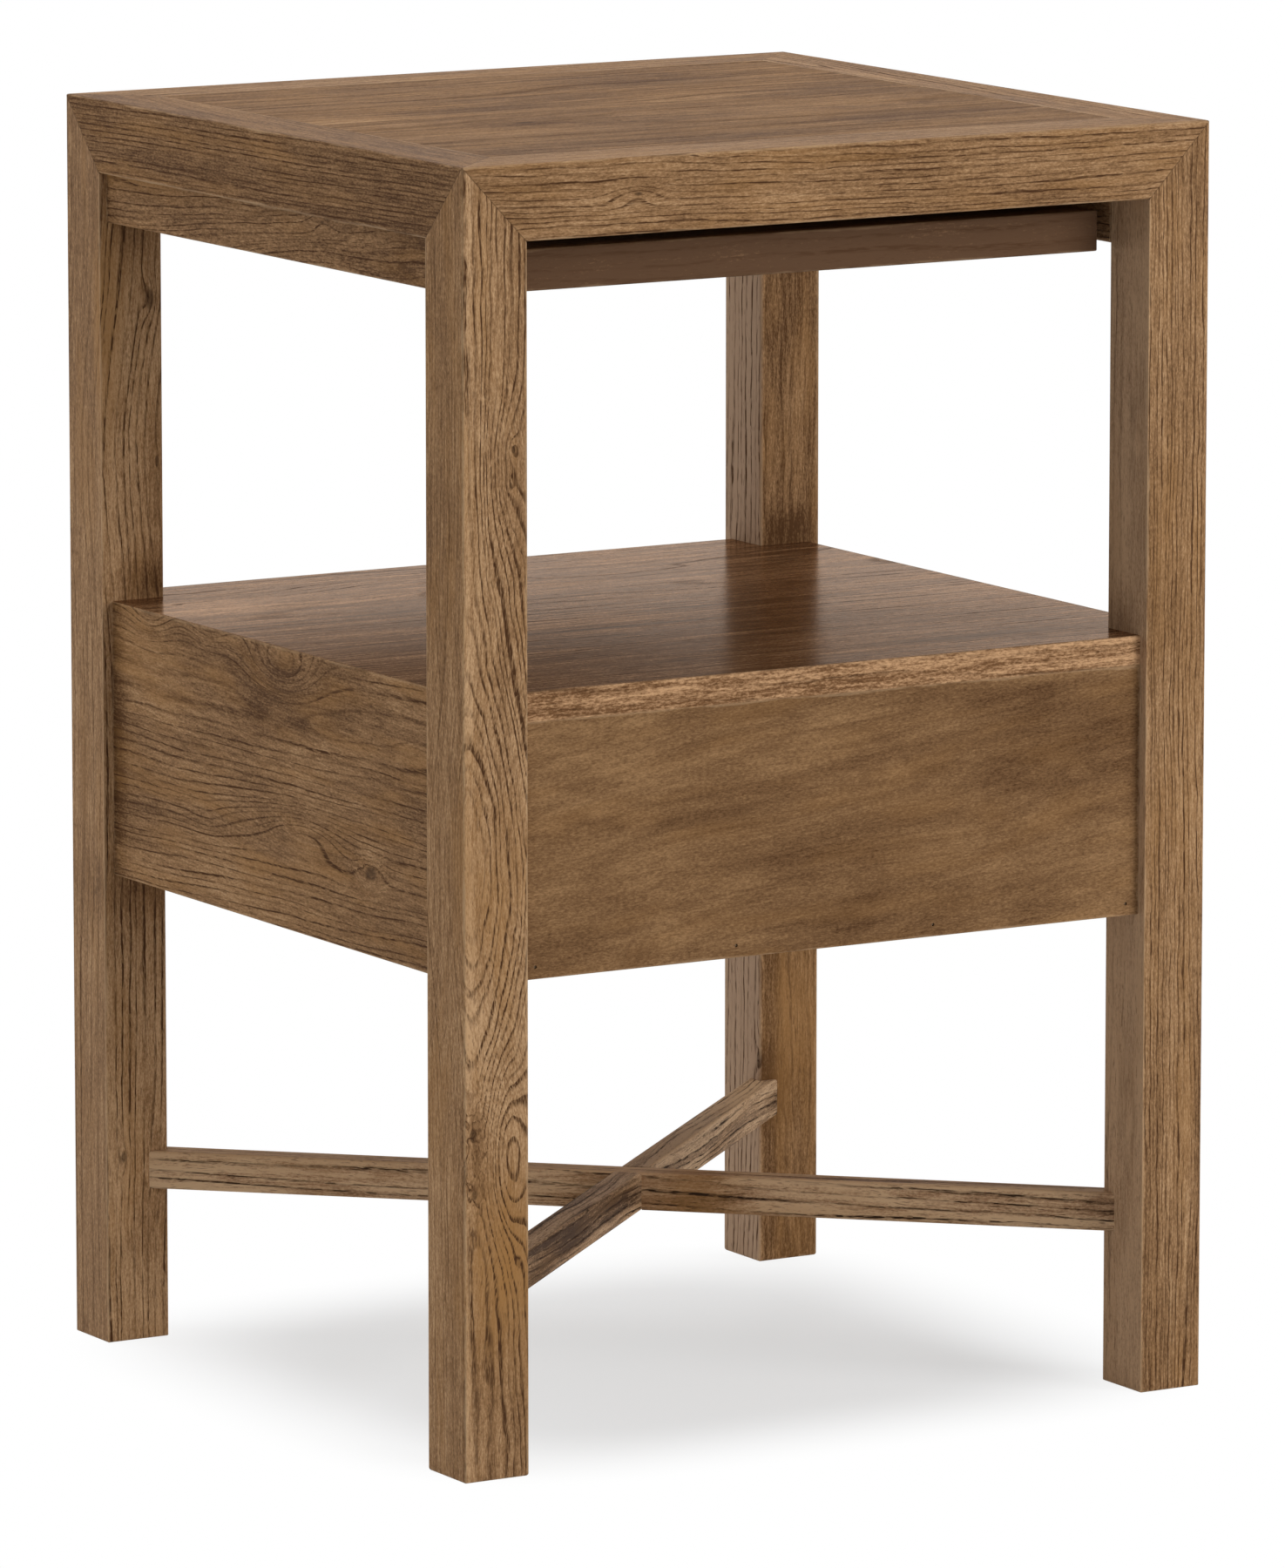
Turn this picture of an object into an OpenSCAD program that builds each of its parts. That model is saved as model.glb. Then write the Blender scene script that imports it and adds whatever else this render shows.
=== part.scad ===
// Side table with a drawer, an open shelf, a pull-out shelf and crossed stretchers.
// Millimetres. +Z is up, the drawer faces -Y, and left and right are seen from the
// front. The origin is on the floor, under the middle of the table.

/* [Table] */
// Height of the table
table_h = 686; // [640:1:760]
// Width, left to right
table_w = 457; // [430:1:560]
// Depth, front to back
table_d = 432; // [404:1:520]
// Side of a leg's square section
leg_s = 38; // [35:0.5:44]
// Height of the mitred top frame
frame_h = 40; // [36:0.5:46]
// Radius of the eased edges
edge_r = 1.5; // [0.5:0.1:2.5]

/* [Top panel] */
// Thickness of the panel inside the top frame
panel_t = 18; // [15:0.5:20]
// Thickness of the tongue round the panel
tongue_t = 6; // [4:0.5:8]
// Length of the tongue
tongue_l = 8; // [5:0.5:12]
// Side of the triangular corner blocks
block_side = 45; // [38:1:60]
// Thickness of the corner blocks
block_t = 19; // [18:0.5:21]

/* [Pull-out shelf] */
// Height of the rails that carry the shelf's slides
rail_h = 27; // [26:0.5:30]
// How far those rails stand in from the table's sides
rail_inset = 4.4; // [4:0.1:12]
// Thickness of the shelf
shelf_t = 22; // [20:0.5:24]
// Drop from the top frame to the shelf
shelf_drop = 8.5; // [7:0.5:10]
// How far the shelf's back edge stands in from the table's back
shelf_back_in = 34.5; // [20:0.5:60]
// Thickness of the lip along the shelf's front
lip_t = 18; // [16:0.5:24]
// Gap at each end of the lip
lip_gap = 1.5; // [1:0.1:3]
// Thickness of the shelf's slides
shelf_slide_t = 10; // [9:0.1:12]
// Height of the shelf's slides
shelf_slide_h = 17; // [16:0.5:20]
// Length of the shelf's slides
shelf_slide_l = 300; // [260:5:340]
// Travel of the shelf
shelf_travel = 200; // [150:5:210]

/* [Drawer case] */
// Height of the case's underside above the floor
case_z = 261; // [180:1:330]
// Height of the case
case_h = 151; // [140:1:200]
// How far the case stands in from the legs' outer faces
case_inset = 6; // [3:0.5:10]
// Thickness of the case's top, bottom and sides
case_t = 16; // [14:0.5:18]
// Thickness of the case's back
back_t = 16; // [9:0.5:18]
// Height of the packers behind the drawer slides
packer_h = 50; // [46:1:60]

/* [Drawer] */
// Thickness of the drawer's front
front_t = 18; // [16:0.5:22]
// Gap at each end of the drawer's front and above it
front_gap = 1.5; // [1:0.1:3]
// Gap behind the closed drawer's front
close_gap = 2; // [1.5:0.1:4]
// Height of the drawer box
box_h = 92; // [60:1:96]
// Gap between the drawer box and the case's back
box_back_gap = 36; // [20:1:90]
// Gap under the drawer box
box_up = 7; // [4:0.5:10]
// Thickness of the drawer box's sides and ends
box_t = 12; // [11:0.5:16]
// Thickness of the drawer's bottom
bottom_t = 6; // [4:0.5:8]
// Height of the drawer's bottom above the box's lower edge
bottom_up = 8; // [5:0.5:12]
// Depth of the grooves that hold the drawer's bottom
bottom_in = 6; // [4:0.5:7]
// Thickness of the drawer's slides
drawer_slide_t = 12.7; // [12:0.1:14]
// Height of the drawer's slides
drawer_slide_h = 45; // [42:0.5:46]
// Length of the drawer's slides
drawer_slide_l = 350; // [300:5:380]
// Travel of the drawer
drawer_travel = 300; // [200:5:300]
// Diameter of the bumpers behind the drawer's front
bumper_d = 8; // [6:0.5:12]

/* [Finger grooves] */
// Length of the groove under the drawer's front
drawer_groove_l = 240; // [120:5:300]
// Length of the groove under the pull-out shelf's lip
shelf_groove_l = 200; // [120:5:300]
// Width of both grooves
groove_w = 9; // [7:0.5:10]
// Depth of both grooves
groove_h = 11; // [8:0.5:13]

/* [Stretchers] */
// Width of the crossed bars
bar_w = 16; // [13:0.5:20]
// Height of the crossed bars
bar_h = 21; // [18:0.5:26]
// Height of the bars' underside above the floor
bar_z = 84; // [50:1:140]

/* [Slide sections] */
// Thickness of the slides' steel
sheet_t = 1.2; // [1:0.1:1.4]
// Thickness of the ball cages
cage_t = 0.6; // [0.5:0.1:0.8]
// Diameter of the slides' balls
ball_d = 2.4; // [2:0.1:2.8]
// Balls in each row
row_balls = 5; // [3:1:8]

/* [Dowels and screws] */
// Diameter of the frame's dowels
dowel_d = 8; // [6:0.5:9]
// Length of the frame's dowels
dowel_l = 30; // [24:1:32]
// Length of the dowels across the top mitres
mitre_dowel_l = 22; // [18:1:26]
// Diameter of the drawer box's dowels
box_dowel_d = 6; // [5:0.5:7]
// Length of the drawer box's dowels
box_dowel_l = 30; // [24:1:36]
// Shank diameter of the wood screws
screw_d = 4; // [3:0.1:4.5]
// Head diameter of the wood screws
screw_head = 7.6; // [6.5:0.1:8.5]
// Shank diameter of the slides' screws
small_screw_d = 2.6; // [2:0.1:3]
// Head diameter of the slides' screws
small_screw_head = 4.8; // [4:0.1:5.2]
// Length of the slides' screws
small_screw_l = 11; // [8:0.5:12]
// Diameter of the brads in the case's back
brad_d = 1.6; // [1.2:0.1:2.5]
// Length of the brads
brad_l = 35; // [25:1:45]

/* [Clearances] */
// Joint line round the top panel
joint_gap = 0.2; // [0.1:0.05:0.5]
// Slack round dowels, screws and tongues
fit_gap = 0.1; // [0.05:0.05:0.2]
// Running gap between moving pieces
run_gap = 0.3; // [0.25:0.05:0.4]

/* [Hidden] */

oak = "#8f6f52";
oak_top = "#8d7363";
oak_dark = "#7b6350";
birch = "#c9ad86";
beech = "#d2ac7a";
zinc = "#a9abad";
steel = "#c8cacc";
rubber = "#3a3836";

round_fn = 32;       // sides of round shapes
arc_n = 3;           // flats on an eased edge
over = 5;            // how far a cutting shape runs past what it cuts

half_w = table_w / 2;
half_d = table_d / 2;
in_x = half_w - leg_s;          // inner faces of the legs, left and right
in_y = half_d - leg_s;          // inner faces of the legs, front and back
frame_z = table_h - frame_h;    // underside of the top frame
mitre_over = over * frame_h / leg_s;

panel_z = table_h - panel_t;
tongue_z = panel_z + (panel_t - tongue_t) / 2;

rail_z = frame_z - rail_h;
shelf_z = frame_z - shelf_drop - shelf_t;
shelf_half = in_x - shelf_slide_t;
lip_front = case_inset - half_d;
shelf_front = lip_front + lip_t;
shelf_back = half_d - shelf_back_in;
shelf_slide_z = rail_z + run_gap + shelf_slide_h / 2;

case_top_z = case_z + case_h;
case_half = half_w - case_inset;
case_in_half = case_half - case_t;
case_back_y = half_d - case_inset;
case_front_y = case_inset - half_d;
drawer_y = case_front_y + front_t;      // back of the drawer's front
slide_y = drawer_y + close_gap;         // front ends of the slides and of the case's bottom
box_half = in_x - drawer_slide_t;
box_z = case_z + case_t + box_up;
box_back = case_back_y - back_t - box_back_gap;
box_bottom_z = box_z + bottom_up;
drawer_slide_z = case_z + case_h / 2 - run_gap;

cage_spare = 5;      // left at each end of a cage, which moves half as far as its inner member
cage_end = 10;       // from a cage's end to its first ball
drawer_step = drawer_travel / 2;

race_gap = ball_d + 2 * run_gap;
shelf_inner_h = shelf_slide_h / 2 - sheet_t - race_gap;
middle_h = drawer_slide_h / 2 - sheet_t - race_gap;
inner_h = middle_h - sheet_t - race_gap;
cage_u = sheet_t + run_gap;
middle_u = cage_u + cage_t + run_gap;
inner_cage_u = middle_u + sheet_t + run_gap;
inner_u = inner_cage_u + cage_t + run_gap;

shelf_flange = shelf_slide_t - sheet_t - run_gap;
shelf_ball_u = (cage_u + cage_t + shelf_flange) / 2;
shelf_ball_h = shelf_inner_h + race_gap / 2;
shelf_cage_y = slide_y + shelf_travel / 2 + cage_spare;
shelf_cage_l = shelf_slide_l - shelf_travel - 2 * cage_spare;

drawer_flange = drawer_slide_t - sheet_t - run_gap;
outer_ball_u = (cage_u + cage_t + drawer_flange) / 2;
outer_ball_h = middle_h + race_gap / 2;
inner_ball_u = (inner_u + drawer_flange) / 2;
inner_ball_h = inner_h + race_gap / 2;
drawer_cage_y = slide_y + drawer_step / 2 + cage_spare;
drawer_cage_l = drawer_slide_l - drawer_step - 2 * cage_spare;

screw_spread = 110;             // spacing of the screws along the shelf's rails and the packers
screw_bite = 25;                // length of a rail's screw inside the top rail
packer_skin = 6;                // wood left outside the points of the packers' screws
front_bite = 12;                // length of a drawer front's screw inside the front
rail_screw_l = rail_h + screw_bite;
packer_screw_l = leg_s - case_inset - packer_skin;
front_screw_l = box_t + front_bite;
block_screw_l = 30;
block_screw_seat = 11;          // wood under a corner block's screw heads
block_tip = 4;                  // blunt ends of the corner blocks
case_dowel_edge = 22;           // from the case's top and bottom boards to its dowels
box_dowel_edge = 16;            // from the drawer box's upper edge to its dowels
front_screw_up = 12;            // from the drawer's bottom to the lower screws of its front
front_screw_x = 0.65;           // share of the box's half width at which those screws stand
brad_up = 6.5;                  // height of the brads above the case's underside
brad_in = 8;                    // from the legs to the end brads
brad_sink = 1;                  // depth of the brads' heads under the filler

// Points of a quarter circle that starts at angle a
function quarter(cx, cy, r, a) =
    [for (i = [0:arc_n]) [cx + r * cos(a + 90 * i / arc_n), cy + r * sin(a + 90 * i / arc_n)]];

// Outline of a rectangle with eased corners
function eased_rect(x0, y0, x1, y1, r) =
    concat(quarter(x1 - r, y1 - r, r, 0), quarter(x0 + r, y1 - r, r, 90),
           quarter(x0 + r, y0 + r, r, 180), quarter(x1 - r, y0 + r, r, 270));

// Channel with its web at u0 and its flanges reaching u1
function channel(u0, u1, h, t) =
    let (s = u1 > u0 ? t : -t)
    [[u0, -h], [u1, -h], [u1, -h + t], [u0 + s, -h + t],
     [u0 + s, h - t], [u1, h - t], [u1, h], [u0, h]];

module prism_x(outline, x0, x1)
    translate([x0, 0, 0]) rotate([90, 0, 90]) linear_extrude(x1 - x0) polygon(outline);

module prism_y(outline, y0, y1)
    translate([0, y1, 0]) rotate([90, 0, 0]) linear_extrude(y1 - y0) polygon(outline);

module prism_z(outline, z0, z1)
    translate([0, 0, z0]) linear_extrude(z1 - z0) polygon(outline);

module block(p0, p1) translate(p0) cube(p1 - p0);

// Block with all its edges eased
module eased_block(p0, p1, r) {
    intersection() {
        prism_x(eased_rect(p0[1], p0[2], p1[1], p1[2], r), p0[0], p1[0]);
        prism_y(eased_rect(p0[0], p0[2], p1[0], p1[2], r), p0[1], p1[1]);
        prism_z(eased_rect(p0[0], p0[1], p1[0], p1[1], r), p0[2], p1[2]);
    }
}

// Copies what is drawn at the back right to another corner
module at_corner(sx, sy)
    mirror([sx < 0 ? 1 : 0, 0, 0]) mirror([0, sy < 0 ? 1 : 0, 0]) children();

module at_each_corner()
    for (sx = [-1, 1], sy = [-1, 1]) at_corner(sx, sy) children();

module at_each_side()
    for (sx = [-1, 1]) at_corner(sx, 1) children();

// Countersunk screw with its head's face at z = 0 and its point down
module screw(d, head, l) {
    difference() {
        rotate_extrude($fn = round_fn)
            polygon([[0, 0], [head / 2, 0], [d / 2, (d - head) / 2], [d / 2, d - l], [0, -l]]);
        for (a = [0, 90]) rotate([0, 0, a]) cube([head * 0.6, head * 0.14, d * 0.8], center = true);
    }
}

module screw_hole(d, head, l) {
    g = fit_gap;
    rotate_extrude($fn = round_fn)
        polygon([[0, over], [head / 2 + g, over], [head / 2 + g, -g / 2],
                 [d / 2 + g, (d - head) / 2 - g / 2], [d / 2 + g, -l - g], [0, -l - g]]);
}

module dowel(d, l, slack = 0)
    cylinder(d = d + 2 * slack, h = l + 4 * slack, center = true, $fn = round_fn);

// Groove with a round end to its depth, cut up into a face at z = 0
module finger_groove(l) {
    translate([-l / 2, -groove_w / 2, -over]) cube([l, groove_w, over + groove_h - groove_w / 2]);
    translate([0, 0, groove_h - groove_w / 2]) rotate([0, 90, 0])
        cylinder(d = groove_w, h = l, center = true, $fn = round_fn);
}

// ---- Places of the fasteners, shared by the fasteners and their holes

// Two dowels across a leg's mitres and one across the two rails' mitre
module at_mitre_dowels() {
    far = 0.74;
    near = 0.24;
    mid = 0.5;
    tilt = atan2(frame_h, leg_s);
    at_each_corner() {
        translate([half_w - far * leg_s, half_d - near * leg_s, table_h - far * frame_h])
            rotate([0, -tilt, 0]) children();
        translate([half_w - near * leg_s, half_d - far * leg_s, table_h - far * frame_h])
            rotate([tilt, 0, 0]) children();
        translate([half_w - far * leg_s, half_d - far * leg_s, table_h - mid * frame_h])
            rotate([0, 0, 45]) rotate([90, 0, 0]) children();
    }
}

// Dowels that hang the case between the legs
module at_case_dowels() {
    edge = case_t + case_dowel_edge;
    side_x = case_half - case_t / 2;
    back_y = case_back_y - back_t / 2;
    for (z = [case_z + edge, case_top_z - edge]) {
        at_each_corner() translate([side_x, in_y, z]) rotate([90, 0, 0]) children();
        at_each_side() translate([in_x, back_y, z]) rotate([0, 90, 0]) children();
    }
}

module at_bar_dowels() {
    at_each_corner() translate([in_x, in_y, bar_z + bar_h / 2])
        rotate([0, 0, atan2(in_y, in_x)]) rotate([0, 90, 0]) children();
}

module at_box_dowels() {
    low = box_bottom_z + bottom_t + box_dowel_d;
    high = box_z + box_h - box_dowel_edge;
    for (y = [drawer_y + box_t / 2, box_back - box_t / 2], z = [low, high])
        at_each_side() translate([box_half - box_dowel_l / 2, y, z]) rotate([0, 90, 0]) children();
}

module at_block_screws() {
    reach = block_side / 3;
    level = panel_z - block_t / 2;
    lift = screw_head / 2 + 0.6;
    at_each_corner() {
        translate([in_x - block_screw_seat, in_y - reach, level - lift]) rotate([0, -90, 0]) children();
        translate([in_x - reach, in_y - block_screw_seat, level + lift]) rotate([90, 0, 0]) children();
    }
}

module at_rail_screws() {
    rail_x = (in_x + half_w - rail_inset) / 2;
    for (y = [-screw_spread, 0, screw_spread])
        at_each_side() translate([rail_x, y, rail_z]) rotate([180, 0, 0]) children();
}

module at_packer_screws() {
    for (y = [-screw_spread, 0, screw_spread])
        at_each_side() translate([in_x, y, drawer_slide_z]) rotate([0, -90, 0]) children();
}

module at_front_screws() {
    low = box_bottom_z + bottom_t + front_screw_up;
    for (x = [-front_screw_x, front_screw_x] * box_half, z = [low, box_z + box_h - box_dowel_edge])
        translate([x, drawer_y + box_t, z]) rotate([-90, 0, 0]) children();
}

// Screws through a slide member's web at u, into the wood behind it
module at_web_screws(x, z, l, way) {
    for (y = [0.12, 0.46, 0.8] * l)
        at_each_side() translate([x, slide_y + y, z]) rotate([0, way * 90, 0]) children();
}

module at_fixed_slide_screws() {
    at_web_screws(in_x - sheet_t, shelf_slide_z, shelf_slide_l, -1) children();
    at_web_screws(in_x - sheet_t, drawer_slide_z, drawer_slide_l, -1) children();
}

module at_shelf_slide_screws()
    at_web_screws(shelf_half + sheet_t, shelf_slide_z, shelf_slide_l, 1) children();

module at_drawer_slide_screws()
    at_web_screws(box_half + sheet_t, drawer_slide_z, drawer_slide_l, 1) children();

module at_brads() {
    end = in_x - brad_in;
    for (x = [-end, -end / 3, end / 3, end])
        translate([x, case_back_y - brad_sink, case_z + brad_up]) rotate([90, 0, 0]) children();
}

module wood_screw(l) screw(screw_d, screw_head, l);
module wood_screw_hole(l) screw_hole(screw_d, screw_head, l);
module small_screw() screw(small_screw_d, small_screw_head, small_screw_l);
module small_screw_hole() screw_hole(small_screw_d, small_screw_head, small_screw_l);

// ---- Legs and top frame

// Outer form of the table, with its edges eased
module table_form()
    eased_block([-half_w, -half_d, 0], [half_w, half_d, table_h], edge_r);

// Side view of a leg: its foot is eased and its head is mitred to the outer corner
function leg_side(inner, outer) =
    concat(quarter(inner + edge_r, edge_r, edge_r, 180),
           [[outer + over, 0], [outer + over, table_h + mitre_over], [inner, frame_z]]);

module leg(sx, sy) {
    color(oak) difference() {
        at_corner(sx, sy) intersection() {
            table_form();
            prism_z(eased_rect(in_x, in_y, half_w + over, half_d + over, edge_r), 0, table_h);
            prism_y(leg_side(in_x, half_w), in_y - over, half_d + over);
            prism_x(leg_side(in_y, half_d), in_x - over, half_w + over);
        }
        at_mitre_dowels() dowel(dowel_d, mitre_dowel_l, fit_gap);
        at_case_dowels() dowel(dowel_d, dowel_l, fit_gap);
        at_bar_dowels() dowel(dowel_d, dowel_l, fit_gap);
    }
}

// Section of a top rail: its outer edges are eased by the table's form
function rail_section(inner, outer) =
    concat(quarter(inner + edge_r, frame_z + edge_r, edge_r, 180),
           quarter(outer - edge_r, frame_z + edge_r, edge_r, 270),
           [[outer, table_h + over], [inner, table_h + over]]);

// Face of a top rail, mitred down to the legs' inner corners
function rail_face(inner, outer) =
    [[-outer - over, table_h + mitre_over], [outer + over, table_h + mitre_over],
     [inner, frame_z], [-inner, frame_z]];

module rail_cuts() {
    tongue = [in_x + tongue_l + fit_gap, in_y + tongue_l + fit_gap];
    block([-tongue[0], -tongue[1], tongue_z], [tongue[0], tongue[1], tongue_z + tongue_t + fit_gap]);
    at_mitre_dowels() dowel(dowel_d, mitre_dowel_l, fit_gap);
    at_block_screws() wood_screw_hole(block_screw_l);
    at_rail_screws() wood_screw_hole(rail_screw_l);
}

// Rail along X at the front or back
module top_rail_x(sy) {
    color(oak) difference() {
        at_corner(1, sy) intersection() {
            table_form();
            prism_x(rail_section(in_y, half_d), -half_w, half_w);
            prism_y(rail_face(in_x, half_w), in_y - over, half_d + over);
            prism_z([[-half_w - over, half_d + over], [-in_x, in_y],
                     [in_x, in_y], [half_w + over, half_d + over]], 0, table_h);
        }
        rail_cuts();
    }
}

// Rail along Y at the left or right
module top_rail_y(sx) {
    color(oak) difference() {
        at_corner(sx, 1) intersection() {
            table_form();
            prism_y(rail_section(in_x, half_w), -half_d, half_d);
            prism_x(rail_face(in_y, half_d), in_x - over, half_w + over);
            prism_z([[half_w + over, -half_d - over], [half_w + over, half_d + over],
                     [in_x, in_y], [in_x, -in_y]], 0, table_h);
        }
        rail_cuts();
    }
}

module leg_front_left() leg(-1, -1);
module leg_front_right() leg(1, -1);
module leg_back_left() leg(-1, 1);
module leg_back_right() leg(1, 1);
module top_rail_front() top_rail_x(-1);
module top_rail_back() top_rail_x(1);
module top_rail_left() top_rail_y(-1);
module top_rail_right() top_rail_y(1);

// Veneered panel with a tongue that lies in the rails' groove
module top_panel() {
    edge = [in_x - joint_gap, in_y - joint_gap];
    tongue = [in_x + tongue_l, in_y + tongue_l];
    color(oak_top) union() {
        block([-edge[0], -edge[1], panel_z], [edge[0], edge[1], table_h]);
        block([-tongue[0], -tongue[1], tongue_z], [tongue[0], tongue[1], tongue_z + tongue_t]);
    }
}

// Blocks glued into the frame's corners under the panel, with blunt tips
module corner_blocks() {
    color(birch) difference() {
        at_each_corner()
            prism_z([[in_x, in_y], [in_x - block_side, in_y], [in_x - block_side, in_y - block_tip],
                     [in_x - block_tip, in_y - block_side], [in_x, in_y - block_side]],
                    panel_z - block_t, panel_z);
        at_block_screws() wood_screw_hole(block_screw_l);
    }
}

// ---- Crossed stretchers, halved into each other where they meet

module bar(turn) {
    reach = norm([in_x, in_y]) + bar_w;
    rotate([0, 0, turn])
        prism_x(eased_rect(-bar_w / 2, bar_z, bar_w / 2, bar_z + bar_h, edge_r), -reach, reach);
}

module cross_bar(turn, lap_z) {
    color(oak_dark) difference() {
        bar(turn);
        // birdsmouths over the legs' inner corners
        at_each_corner() block([in_x, in_y, 0], [half_w + bar_w, half_d + bar_w, table_h]);
        rotate([0, 0, -turn]) translate([-half_w, -bar_w / 2, lap_z]) cube([table_w, bar_w, bar_h / 2]);
        at_bar_dowels() dowel(dowel_d, dowel_l, fit_gap);
    }
}

// Runs from the front left leg to the back right one, and is halved from above
module cross_bar_front_left() cross_bar(atan2(in_y, in_x), bar_z + bar_h / 2);

// Runs from the front right leg to the back left one, and is halved from below
module cross_bar_front_right() cross_bar(-atan2(in_y, in_x), bar_z);

// ---- Drawer case, hung between the legs

module case_form()
    eased_block([-case_half, case_front_y, case_z], [case_half, case_back_y, case_top_z], edge_r / 2);

// Mitred board between the legs; z is its outer face and way points outwards
module case_board(z, way) {
    inner_z = z - way * case_t;
    prism_y([[-case_half - over, z + way * over], [case_half + over, z + way * over],
             [case_in_half, inner_z], [-case_in_half, inner_z]], -in_y, in_y);
}

module case_top() {
    color(oak_dark) intersection() {
        case_form();
        union() {
            case_board(case_top_z, 1);
            block([-in_x, case_front_y - over, case_top_z - case_t],
                  [in_x, case_back_y + over, case_top_z]);
        }
    }
}

module case_bottom() {
    color(oak_dark) difference() {
        intersection() {
            case_form();
            union() {
                case_board(case_z, -1);
                block([-in_x, slide_y, case_z], [in_x, case_back_y - back_t, case_z + case_t]);
            }
        }
        at_brads() cylinder(d = brad_d + 2 * fit_gap, h = brad_l + fit_gap, $fn = round_fn);
    }
}

module case_side(sx) {
    color(oak_dark) difference() {
        at_corner(sx, 1) intersection() {
            case_form();
            prism_y([[case_half + over, case_z - over], [case_half + over, case_top_z + over],
                     [case_in_half, case_top_z - case_t], [case_in_half, case_z + case_t]], -in_y, in_y);
        }
        at_case_dowels() dowel(dowel_d, dowel_l, fit_gap);
        at_packer_screws() wood_screw_hole(packer_screw_l);
    }
}

module case_side_left() case_side(-1);
module case_side_right() case_side(1);

module case_back() {
    color(oak_dark) difference() {
        intersection() {
            case_form();
            block([-in_x, case_back_y - back_t, case_z], [in_x, case_back_y + over, case_top_z - case_t]);
        }
        at_case_dowels() dowel(dowel_d, dowel_l, fit_gap);
        at_brads() translate([0, 0, -over])
            cylinder(d = brad_d + 2 * fit_gap, h = brad_l + over, $fn = round_fn);
    }
}

// Fills the step between the case's side and the legs, behind a drawer slide
module slide_packer(sx) {
    color(birch) difference() {
        at_corner(sx, 1) block([in_x, -in_y, drawer_slide_z - packer_h / 2],
                               [case_in_half, in_y, drawer_slide_z + packer_h / 2]);
        at_packer_screws() wood_screw_hole(packer_screw_l);
        at_fixed_slide_screws() small_screw_hole();
    }
}

module slide_packer_left() slide_packer(-1);
module slide_packer_right() slide_packer(1);

// ---- Pull-out shelf

module shelf_rail(sx) {
    outer = half_w - rail_inset;
    color(oak) difference() {
        at_corner(sx, 1)
            prism_y(concat(quarter(in_x + edge_r, rail_z + edge_r, edge_r, 180),
                           quarter(outer - edge_r, rail_z + edge_r, edge_r, 270),
                           [[outer, frame_z], [in_x, frame_z]]), -in_y, in_y);
        at_rail_screws() wood_screw_hole(rail_screw_l);
        at_fixed_slide_screws() small_screw_hole();
    }
}

module shelf_rail_left() shelf_rail(-1);
module shelf_rail_right() shelf_rail(1);

module pull_shelf_board() {
    color(oak_dark) difference() {
        intersection() {
            eased_block([-shelf_half, shelf_front - over, shelf_z],
                        [shelf_half, shelf_back, shelf_z + shelf_t], edge_r);
            block([-half_w, shelf_front, 0], [half_w, half_d, table_h]);
        }
        at_shelf_slide_screws() small_screw_hole();
    }
}

module pull_shelf_lip() {
    end = in_x - lip_gap;
    color(oak) difference() {
        eased_block([-end, lip_front, shelf_z], [end, shelf_front, shelf_z + shelf_t], edge_r);
        translate([0, lip_front + lip_t / 2, shelf_z]) finger_groove(shelf_groove_l);
    }
}

// ---- Slides. Each section is drawn on the right, u running in from the leg's inner face

module slide_bar(outline, z, front, l)
    translate([in_x, 0, z]) mirror([1, 0, 0]) prism_y(outline, front, front + l);

// Cage with its rows of holes, at u and up to height h, and the balls' places in it
module at_balls(u, h, z, front, l) {
    pitch = (l - 2 * cage_end) / (row_balls - 1);
    for (i = [0:row_balls - 1], s = [-1, 1])
        at_each_side() translate([in_x - u, front + cage_end + i * pitch, z + s * h]) children();
}

module cages(u0, u1, u, h, z, front, l) {
    color(steel) difference() {
        at_each_side() slide_bar(channel(u0, u1, h + cage_t / 2, cage_t), z, front, l);
        at_balls(u, h, z, front, l)
            cylinder(d = ball_d + 2 * fit_gap, h = 3 * cage_t, center = true, $fn = round_fn);
    }
}

module balls(u, h, z, front, l)
    color(steel) at_balls(u, h, z, front, l) sphere(d = ball_d, $fn = round_fn);

// Pull-out shelf: two members
module shelf_slide_outer(sx) {
    color(zinc) difference() {
        at_corner(sx, 1) slide_bar(channel(0, shelf_flange, shelf_slide_h / 2, sheet_t),
                                   shelf_slide_z, slide_y, shelf_slide_l);
        at_fixed_slide_screws() small_screw_hole();
    }
}

module shelf_slide_inner(sx) {
    color(zinc) difference() {
        at_corner(sx, 1) slide_bar(channel(shelf_slide_t, middle_u, shelf_inner_h, sheet_t),
                                   shelf_slide_z, slide_y, shelf_slide_l);
        at_shelf_slide_screws() small_screw_hole();
    }
}

module shelf_slide_outer_left() shelf_slide_outer(-1);
module shelf_slide_outer_right() shelf_slide_outer(1);
module shelf_slide_inner_left() shelf_slide_inner(-1);
module shelf_slide_inner_right() shelf_slide_inner(1);

module shelf_slide_cages()
    cages(cage_u, shelf_flange, shelf_ball_u, shelf_ball_h, shelf_slide_z, shelf_cage_y, shelf_cage_l);

module shelf_slide_balls()
    balls(shelf_ball_u, shelf_ball_h, shelf_slide_z, shelf_cage_y, shelf_cage_l);

// Drawer: three members and two sets of cages
module drawer_slide_outer(sx) {
    color(zinc) difference() {
        at_corner(sx, 1) slide_bar(channel(0, drawer_flange, drawer_slide_h / 2, sheet_t),
                                   drawer_slide_z, slide_y, drawer_slide_l);
        at_fixed_slide_screws() small_screw_hole();
    }
}

module drawer_slide_middle(sx)
    color(zinc) at_corner(sx, 1) slide_bar(channel(middle_u, drawer_flange, middle_h, sheet_t),
                                           drawer_slide_z, slide_y, drawer_slide_l);

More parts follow.
